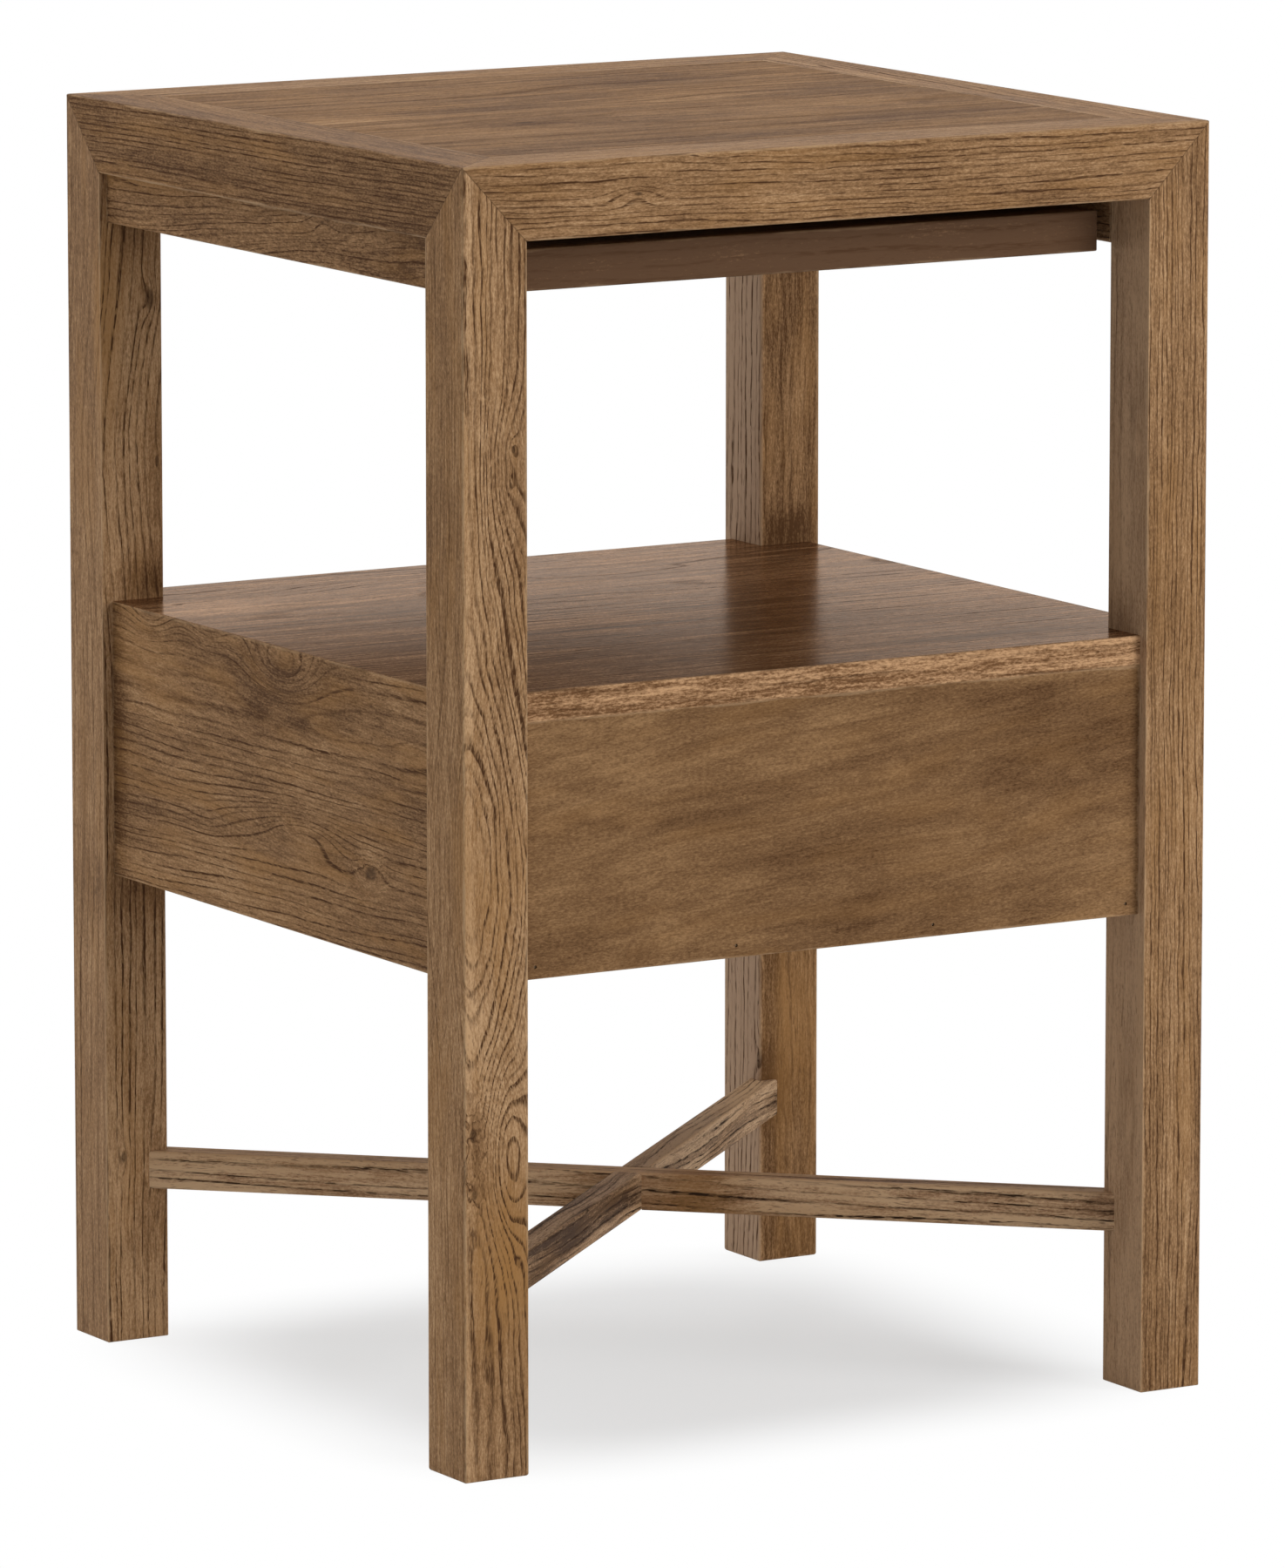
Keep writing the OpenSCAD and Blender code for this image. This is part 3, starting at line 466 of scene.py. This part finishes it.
# The legs. Their heads are mitred into the top frame, so they share its seams
legHead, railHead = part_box("leg_back_right"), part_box("top_rail_back")
seams = (legHead[0], legHead[1], railHead[0].z, railHead[1].z)
legs = {
    "leg_back_right": {"seed": 1, "heart": (17, 31), "lean": (0.03, 0.0), "rings": 3.3, "wander": 4.0,
                       "ripple": 1.8, "line": 0.46, "sapwood": (1, 1, 6),
                       # painted shade on the +x face, painted light on the +y face
                       "faces": {"x": (0.65, -0.06, 0), "y": (-0.1, 0.1, 0)},
                       "knots": (
                           {"at": (0.5, 1.0, 0.475), "swell": -20, "reach": (85, 200), "core": 0},
                           {"at": (0.35, 1.0, 0.246), "swell": 22, "reach": (46, 14), "core": 0},
                           {"at": (0.85, 1.0, 0.25), "swell": 5, "reach": (26, 7), "core": 0,
                            "curl": 1.4},
                           {"at": (0.86, 1.0, 0.268), "swell": 2, "reach": (6, 3), "core": 0.5},
                           {"at": (0.84, 1.0, 0.222), "swell": 2, "reach": (4, 3), "core": 0.7},
                           {"at": (0.33, 1.0, 0.77), "swell": 12, "reach": (40, 13), "core": 0},
                           {"at": (0.21, 1.0, 0.787), "swell": 3, "reach": (6, 3), "core": 0.15},
                           {"at": (0.25, 1.0, 0.76), "swell": 2, "reach": (5, 2), "core": 0.15},
                       ),
                       "stainsAndPaintedLight": (
                           {"at": (0.3, 1.0, 0.165), "reach": (46, 22), "shade": -0.1, "gold": 0.9},
                           {"at": (0.86, 1.0, 0.25), "reach": (30, 6), "shade": -0.4},
                           # painted light: the +x face lighter low down, as if lit from the floor
                           {"at": (1.0, 0.35, 0.12), "reach": (180, 19), "shade": 0.22},
                           {"at": (0.6, 1.0, 0.45), "reach": (40, 14), "shade": 0.1, "gold": 0.3},
                       )},
    "leg_front_right": {"seed": 2, "heart": (-44, 52), "lean": (0.0, 0.02), "wander": 7.0, "ripple": 2.0,
                        "rings": 3.8, "line": 0.42,
                        # painted sheen and a little painted shade on the +x face, painted light on the +y
                        # face
                        "faces": {"x": (0.5, -0.02, 0.08), "y": (0.1, 0.22, 0)},
                        "knots": (
                            {"at": (0.21, 1.0, 0.84), "swell": 4, "reach": (12, 5), "core": 0.4},
                            {"at": (0.72, 1.0, 0.15), "swell": 3, "reach": (8, 4), "core": 0.3},
                            {"at": (0.1, 1.0, 0.71), "swell": 2, "reach": (7, 2), "core": 0.3},
                            {"at": (0.5, 1.0, 0.72), "swell": -9, "reach": (75, 200), "core": 0},
                        ),
                        "stainsAndPaintedLight": (
                            # painted shade on the inner face near the top, by the rails
                            {"at": (0.35, 1.0, 0.905), "reach": (22, 22), "shade": -0.46},
                            {"at": (0.92, 1.0, 0.82), "reach": (60, 7), "shade": 0.05, "gold": 0.6},
                            {"at": (0.1, 1.0, 0.84), "reach": (18, 9), "shade": -0.25},
                            # painted shade on the inner face where the case top meets the leg
                            {"at": (0.2, 1.0, 0.615), "reach": (14, 20), "shade": -0.5},
                            {"at": (0.15, 1.0, 0.7), "reach": (50, 7), "shade": -0.24},
                            # painted shade on the inner face just under the case
                            {"at": (0.5, 1.0, 0.37), "reach": (18, 30), "shade": -0.36},
                            {"at": (0.3, 1.0, 0.1), "reach": (30, 12), "shade": -0.3},
                        )},
    "leg_back_left": {"seed": 3, "heart": (-52, 10), "lean": (0.0, 0.02), "rings": 2.6, "wander": 3.4,
                      "ripple": 1.3, "line": 0.42,
                      # painted light and painted sheen on the +x face, painted shade on the +y face
                      "faces": {"x": (0.5, 0.36, 0.25), "y": (0.1, -0.06, 0)},
                      "stainsAndPaintedLight": (
                          # painted shade on the inner face where the case top meets the leg
                          {"at": (1.0, 0.3, 0.6), "reach": (24, 24), "shade": -0.3},
                          {"at": (0.3, 1.0, 0.55), "reach": (120, 10), "shade": 0.08, "gold": 0.2},
                          # painted light: the +y face lighter low down
                          {"at": (0.5, 1.0, 0.2), "reach": (150, 22), "shade": 0.1},
                      )},
    "leg_front_left": {"seed": 4, "heart": (36, 44), "lean": (0.01, 0.03), "wander": 6.0, "ripple": 1.6,
                       # painted light and painted sheen on the +x face, painted shade on the +y face
                       "rings": 4.4, "line": 0.4, "faces": {"x": (0.0, 0.66, 0.6), "y": (0.7, -0.3, 0)},
                       "sapwood": (1, 1, 4),
                       "knots": ({"at": (1.0, 0.97, 0.17), "swell": 4, "reach": (10, 4), "core": 0.3},),
                       "stainsAndPaintedLight": (
                           # painted shade at the top of the face, under the top frame
                           {"at": (0.4, 1.0, 0.93), "reach": (30, 30), "shade": -0.5},
                           # painted shade where the case top meets the leg
                           {"at": (0.5, 1.0, 0.615), "reach": (12, 30), "shade": -0.3},
                           {"at": (0.8, 1.0, 0.15), "reach": (24, 16), "shade": -0.4},
                           {"at": (0.3, 1.0, 0.2), "reach": (50, 18), "shade": 0.14, "gold": 0.5},
                           {"at": (0.25, 1.0, 0.02), "reach": (26, 20), "shade": -0.1, "gold": 0.3},
                           {"at": (0.3, 1.0, 0.72), "reach": (60, 12), "shade": 0.12},
                       )},
}
for name, cut in legs.items():
    makeWood(name, oakFinish, {**plainCut, **cut}, "z", cut["seed"], seams)
print("legs: stained")


# The top frame, and the rails under it that carry the pull-out shelf
rails = {
    "top_rail_back": {"grain": "x", "seed": 5, "heart": (28, 36), "lean": (0.03, 0.01), "wander": 5.0,
                      "ripple": 1.4, "rings": 3.4, "line": 0.36, "shade": -0.05,
                      # painted light on the top face
                      "faces": {"z": (0.3, 0.07, 0)},
                      "knots": (
                          {"at": (0.772, 1.0, 0.52), "swell": 6, "reach": (16, 6), "core": 0.03},
                      )},
    "top_rail_front": {"grain": "x", "seed": 6, "heart": (-34, 6)},
    "top_rail_left": {"grain": "y", "seed": 7, "heart": (10, 30)},
    "top_rail_right": {"grain": "y", "seed": 8, "heart": (8, 44), "wander": 3.4, "shade": -0.22,
                       # painted shade on the top face
                       "rings": 2.8, "line": 0.42, "faces": {"z": (0.6, -0.06, 0)}},
}
for name, cut in rails.items():
    makeWood(name, oakFinish, {**plainCut, **cut}, cut["grain"], cut["seed"], seams)

shelfRails = {
    "shelf_rail_left": {"seed": 9, "heart": (30, 10)},
    "shelf_rail_right": {"seed": 10, "heart": (24, 26), "shade": -0.18, "wander": 8.0, "ripple": 1.6,
                         "slant": -0.09, "rings": 3.2, "line": 0.36,
                         "knots": (
                             {"at": (1.0, 0.673, 0.88), "swell": 6, "reach": (16, 6), "core": 0.03},
                             {"at": (1.0, 0.6, -0.1), "swell": 14, "reach": (70, 16), "core": 0},
                         ),
                         "stainsAndPaintedLight": (
                             # painted shade at the rail's end against the near leg
                             {"at": (1.0, 0.93, 0.6), "reach": (22, 30), "shade": -0.2},
                             {"at": (1.0, 0.1, 1.0), "reach": (60, 7), "shade": 0.04, "gold": 0.5},
                         )},
}
for name, cut in shelfRails.items():
    makeWood(name, oakFinish, {**plainCut, **cut}, "y", cut["seed"])
print("top frame and shelf rails: stained")


# The panel of the top
panelCut = {
    **plainCut, "heart": (60, 60), "lean": (0.05, 0.02), "rings": 11.0, "wander": 14.0, "shade": -0.18,
    "rim": 0.1,
    "knots": (
        {"at": (0.728, 0.614, 1.0), "swell": 6, "reach": (22, 9), "core": 0.12},
        {"at": (-0.035, 0.035, 1.0), "swell": 6, "reach": (26, 10), "core": 0.12},
    ),
    "stainsAndPaintedLight": (
        {"at": (0.72, 0.62, 1.0), "reach": (44, 11), "shade": -0.2},
        {"at": (0.3, 0.8, 1.0), "reach": (90, 9), "shade": -0.12},
        {"at": (0.95, 0.45, 1.0), "reach": (90, 14), "shade": 0.12},
        {"at": (0.35, 0.2, 1.0), "reach": (60, 10), "shade": -0.16},
    ),
}
makeWood("top_panel", panelFinish, panelCut, "x", 11)
print("top panel: veneered")


# The pull-out shelf
boardFinish = {**oakFinish, "fibre": 0.3, "grit": 0.4, "gold": 0.0, "specks": 0.2, "wearAndHighlightShare": 0.2}
# painted shade and painted sheen on the +y face
boardCut = {**plainCut, "heart": (40, 60), "shade": -0.34, "faces": {"y": (0.3, -0.3, 0.1)}}
makeWood("pull_shelf_board", boardFinish, boardCut, "x", 12)
makeWood("pull_shelf_lip", oakFinish, {**plainCut, "heart": (30, 12)}, "x", 13)
print("pull-out shelf: stained")


# The drawer case: veneered boards, with a smooth one at its back
case = {
    "case_bottom": {"grain": "x", "seed": 15, "heart": (40, 40)},
    "case_side_left": {"grain": "y", "seed": 17, "heart": (40, 20), "wander": 9.0},
    "case_side_right": {"grain": "y", "seed": 18, "heart": (30, 44), "lean": (0.05, 0.06), "slant": 0.05,
                        "wander": 6.0, "ripple": 0.6, "rings": 3.9, "line": 0.34, "shade": -0.12,
                        "knots": (
                            {"at": (1.0, 0.12, 1.0), "swell": 9, "reach": (22, 15), "core": 0},
                            {"at": (1.0, 0.31, 1.04), "swell": 10, "reach": (20, 15), "core": 0},
                            {"at": (1.0, 0.535, 0.93), "swell": 22, "reach": (38, 16), "core": 0},
                            {"at": (1.0, 0.3, 0.31), "swell": -5, "reach": (24, 9), "core": 0},
                            {"at": (1.0, 0.6, 0.36), "swell": 14, "reach": (44, 12), "core": 0},
                            {"at": (1.0, 0.803, 0.29), "swell": 9, "reach": (15, 10), "core": 0.22,
                             "curl": 0.6},
                        ),
                        "stainsAndPaintedLight": (
                            {"at": (1.0, 0.7, 0.88), "reach": (34, 16), "shade": -0.16},
                            {"at": (1.0, 0.5, 0.8), "reach": (90, 24), "shade": -0.14},
                            {"at": (1.0, 0.02, 0.5), "reach": (8, 90), "shade": -0.35},
                            {"at": (1.0, 0.803, 0.36), "reach": (13, 4), "shade": 0.3},
                            {"at": (1.0, 0.7, 0.33), "reach": (24, 9), "shade": -0.16},
                            # painted light along the bottom of the panel, with a golden tone
                            {"at": (1.0, 0.5, 0.05), "reach": (150, 26), "shade": 0.12, "gold": 0.12},
                            {"at": (1.0, 0.1, 0.85), "reach": (50, 16), "shade": 0.06, "gold": 0.3},
                        )},
}
for name, cut in case.items():
    makeWood(name, caseFinish, {**plainCut, **cut}, cut["grain"], cut["seed"])
shelfCut = {
    **plainCut, "heart": (-100, 160), "rings": 4.0, "line": 0.26, "wander": 10.0, "shade": 0.0,
    # painted light on the +y face
    "faces": {"y": (0.4, 0.2, 0)},
    "stainsAndPaintedLight": (
        # painted shade: darker and less polished towards the corner at the near leg
        {"at": (1.0, 0.9, 1.0), "reach": (300, 230), "shade": -0.1, "lustre": -0.5},
        {"at": (0.1, 0.56, 1.0), "reach": (90, 90), "shade": 0.1},
        {"at": (0.9, 0.2, 1.0), "reach": (60, 30), "shade": 0.3},
        {"at": (0.25, 0.9, 1.0), "reach": (80, 6), "shade": -0.4},
        {"at": (0.6, 0.6, 1.0), "reach": (90, 3), "shade": -0.4},
        {"at": (0.4, 0.5, 1.0), "reach": (60, 2.5), "shade": -0.4},
        {"at": (0.8, 0.35, 1.0), "reach": (70, 2.5), "shade": -0.4},
    ),
}
makeWood("case_top", shelfFinish, shelfCut, "x", 14)
backCut = {
    **plainCut, "heart": (40, 160), "slant": 0.16, "rings": 7.0, "wander": 12.0,
    "stainsAndPaintedLight": (
        {"at": (0.15, 1.0, 0.8), "reach": (60, 26), "shade": -0.08},
        {"at": (0.15, 1.0, 1.0), "reach": (40, 4), "shade": 0.24},
        {"at": (0.2, 1.0, 0.94), "reach": (50, 4), "shade": -0.16},
        {"at": (0.6, 1.0, 0.95), "reach": (120, 14), "shade": -0.05},
        {"at": (0.82, 1.0, 0.9), "reach": (14, 50), "shade": 0.1},
        {"at": (0.75, 1.0, 0.44), "reach": (60, 7), "shade": 0.16},
        {"at": (0.6, 1.0, 0.36), "reach": (80, 6), "shade": -0.14},
    ),
}
makeWood("case_back", silkFinish, backCut, "x", 16)
print("drawer case: veneered")


# The crossed bars
bars = {
    "cross_bar_front_left": {"grain": 1, "seed": 19, "heart": (20, 26), "wander": 6.0, "ripple": 1.2,
                             # painted light on the top faces
                             "shade": 0.1, "line": 0.4, "faces": {"z": (0.3, 0.44, 0)},
                             "stainsAndPaintedLight": (
                                 # painted shade over the half of the bar towards the near leg
                                 {"at": (0.8, 0.8, 0.5), "reach": (110, 60), "shade": -0.56},
                                 {"at": (0.0, 0.0, 0.5), "reach": (34, 60), "shade": -0.3},
                             )},
    "cross_bar_front_right": {"grain": -1, "seed": 20, "heart": (-34, 40), "wander": 9.0, "ripple": 2.2,
                              # painted light on the top faces
                              "shade": 0.36, "rings": 4.4, "line": 0.34, "faces": {"z": (0.3, 0.24, 0)},
                              "stainsAndPaintedLight": (
                                  {"at": (1.0, 0.0, 0.4), "reach": (150, 60), "shade": 0.2},
                                  {"at": (0.8, 0.2, 0.9), "reach": (160, 4), "shade": -0.5},
                                  {"at": (0.2, 0.8, 1.0), "reach": (120, 5), "shade": -0.6},
                                  # painted shade beside the crossing, with a golden tone
                                  {"at": (0.43, 0.57, 0.5), "reach": (22, 40), "shade": -0.45,
                                   "gold": 0.5},
                                  {"at": (0.0, 1.0, 0.5), "reach": (18, 40), "shade": -0.4},
                              )},
}
barFinishes = {"cross_bar_front_left": barFinish, "cross_bar_front_right": warmBarFinish}
for name, cut in bars.items():
    makeWood(name, barFinishes[name], {**plainCut, **cut}, cut["grain"], cut["seed"])
print("crossed bars: stained")


# The drawer and the blocks inside
plainBoards = {
    "drawer_front": ("x", caseFinish), "drawer_inner_front": ("x", birchFinish),
    "drawer_back": ("x", birchFinish), "drawer_bottom": ("x", birchFinish),
    "drawer_side_left": ("y", birchFinish), "drawer_side_right": ("y", birchFinish),
    "slide_packer_left": ("y", birchFinish), "slide_packer_right": ("y", birchFinish),
    "corner_blocks": ("x", beechFinish), "mitre_dowels": ("x", beechFinish),
    "case_dowels": ("x", beechFinish), "bar_dowels": ("x", beechFinish), "box_dowels": ("x", beechFinish),
}
for number, (name, (grain, finish)) in enumerate(plainBoards.items()):
    makeWood(name, finish, plainCut, grain, 30 + number)
print("drawer and blocks: finished")


# Metal and rubber
metals = {
    "zinc": {"dark": tint(150, 152, 154), "light": tint(196, 198, 200), "rough": 0.32, "scratch": 0.12},
    "ball": {"dark": tint(205, 207, 210), "light": tint(222, 224, 227), "rough": 0.08, "scratch": 0.03},
    "screw": {"dark": tint(158, 154, 140), "light": tint(206, 201, 186), "rough": 0.3, "scratch": 0.1},
    "brad": {"dark": tint(110, 92, 74), "light": tint(150, 128, 104), "rough": 0.5, "scratch": 0.1},
}


def makeMetal(kind, look):
    material, tree, shader = newMaterial("metal_" + kind)
    here = tree.make("ShaderNodeTexCoord", {}, {}, "Object")
    x, y, z = (here.dot(sides[side] * toMm) for side in "xyz")
    brush = spread(y, 40, x, 0.5, z).noise(3.0, 0.6)
    clouds = spread(x, 14, y, 14, z).noise(3.0)
    shine = 0.5 + clouds * 0.4 + brush * 0.2
    colour = tree.make("ShaderNodeValToRGB", {"stops": [(0.0, look["dark"]), (1.0, look["light"])]},
                       {0: shine})
    bump = tree.make("ShaderNodeBump", {}, {"Strength": 0.15, "Distance": 0.0001, "Height": brush})
    rough = look["rough"] + brush * look["scratch"] + clouds * look["scratch"] / 2
    plug(shader, {"Base Color": colour, "Metallic": 1.0, "Roughness": rough, "Normal": bump})
    return material


def makeRubber(look):
    material, tree, shader = newMaterial("rubber")
    here = tree.make("ShaderNodeTexCoord", {}, {}, "Object")
    x, y, z = (here.dot(sides[side] * toMm) for side in "xyz")
    grit = spread(x, 0.6, y, 0.6, z).noise(2.0)
    colour = tree.make("ShaderNodeValToRGB", {"stops": [(0.0, look["dark"]), (1.0, look["light"])]},
                       {0: 0.5 + grit * 0.4})
    bump = tree.make("ShaderNodeBump", {}, {"Strength": 0.2, "Distance": 0.0001, "Height": grit})
    rough = look["rough"] + grit * 0.08
    plug(shader, {"Base Color": colour, "Roughness": rough, "Normal": bump})
    return material


zinc, ball, screw, brad = (makeMetal(kind, look) for kind, look in metals.items())
rubber = makeRubber({"dark": tint(40, 39, 38), "light": tint(64, 62, 60), "rough": 0.75})
slideMembers = ("_slide_outer", "_slide_inner", "_middle_")
for name in nodes:
    if name.endswith("_balls"):
        dress(name, ball)
    elif name.endswith("_screws"):
        dress(name, screw)
    elif name.endswith("_brads"):
        dress(name, brad)
    elif name.endswith("_bumpers"):
        dress(name, rubber)
    elif name.endswith("_cages") or any(part in name for part in slideMembers):
        dress(name, zinc)
print("metal and rubber: finished")


# The floor, the world and the lamps
stage = {
    "reach": 30.0,               # metres across the floor
    "paper": tint(246, 249, 251),
    "lift": 0.51,                # how much of the shadow the studio's white washes out
    "shadowEnds": (0.65, 1.22),  # where the rest fades out, as shares of the way to the feet
}
lamps = {
    "overhead": {"at": (0.3, -0.7, 2.6), "size": 2.4, "watts": 30},
    "backFill": {"at": (-1.9, 3.0, 1.5), "size": 2.0, "watts": 78},
    "sideFill": {"at": (2.5, -2.0, 0.7), "size": 1.6, "watts": 21},
}
worldLevel = 0.32


def seesWhite(wire):
    # 1 for rays from the camera and for those that metal reflects or glass lets through
    seen = wire.make("ShaderNodeLightPath", {}, {}, "Is Camera Ray")
    sockets = seen.socket.node.outputs
    glossy, through = (Wire(wire.tree, sockets[ray]) for ray in ("Is Glossy Ray", "Is Transmission Ray"))
    return seen.higher(glossy).higher(through)


def makeFloor(stage, height):
    half = stage["reach"] / 2
    mesh = bpy.data.meshes.new("floor")
    corners = [(x * half, y * half, height) for x, y in ((-1, -1), (1, -1), (1, 1), (-1, 1))]
    mesh.from_pydata(corners, [], [(0, 1, 2, 3)])
    floor = bpy.data.objects.new("floor", mesh)
    bpy.context.scene.collection.objects.link(floor)
    material, tree, shader = newMaterial("paper")
    plug(shader, {"Base Color": stage["paper"], "Roughness": 0.9, "Specular IOR Level": 0.1})
    glow = tree.make("ShaderNodeEmission", {}, {"Color": (1, 1, 1, 1), "Strength": 1.0})
    here = tree.make("ShaderNodeTexCoord", {}, {}, "Object")
    x, y = (here.dot(sides[side] / solidBox[1][i]).squared() for i, side in enumerate("xy"))
    away = (x.squared() + y.squared()).math("POWER", 0.25)    # 1 on a rounded square through the feet
    faded = away.step(*stage["shadowEnds"])
    share = (stage["lift"] + faded * (1 - stage["lift"])) * seesWhite(tree)
    mixed = tree.make("ShaderNodeMixShader", {},
                      {0: share, 1: Wire(tree.tree, shader.outputs[0]), 2: glow})
    tree.tree.links.new(mixed.socket, tree.tree.nodes["Material Output"].inputs["Surface"])
    mesh.materials.append(material)


def makeWorld(level):
    world = bpy.data.worlds.new("studio")
    world.use_nodes = True
    bpy.context.scene.world = world
    tree = Wire(world.node_tree)
    white = seesWhite(tree)
    strength = white + (1 - white) * level
    background = world.node_tree.nodes["Background"]
    plug(background, {"Color": (1, 1, 1, 1), "Strength": strength})


def makeLamp(name, look, aim):
    light = bpy.data.lights.new(name, "AREA")
    light.shape = "SQUARE"
    light.size = look["size"]
    light.energy = look["watts"]
    lamp = bpy.data.objects.new(name, light)
    lamp.location = look["at"]
    lamp.rotation_mode = "QUATERNION"
    lamp.rotation_quaternion = (aim - Vector(look["at"])).to_track_quat("-Z", "Y")
    lamp.visible_camera = False
    lamp.visible_glossy = False    # the polish mirrors the white studio, and no lamp glares in it
    bpy.context.scene.collection.objects.link(lamp)


makeFloor(stage, solidBox[0].z)
makeWorld(worldLevel)
for name, look in lamps.items():
    makeLamp(name, look, middle)
bpy.context.scene.view_settings.view_transform = "Standard"
print("stage: floor, world and", len(lamps), "lamps")
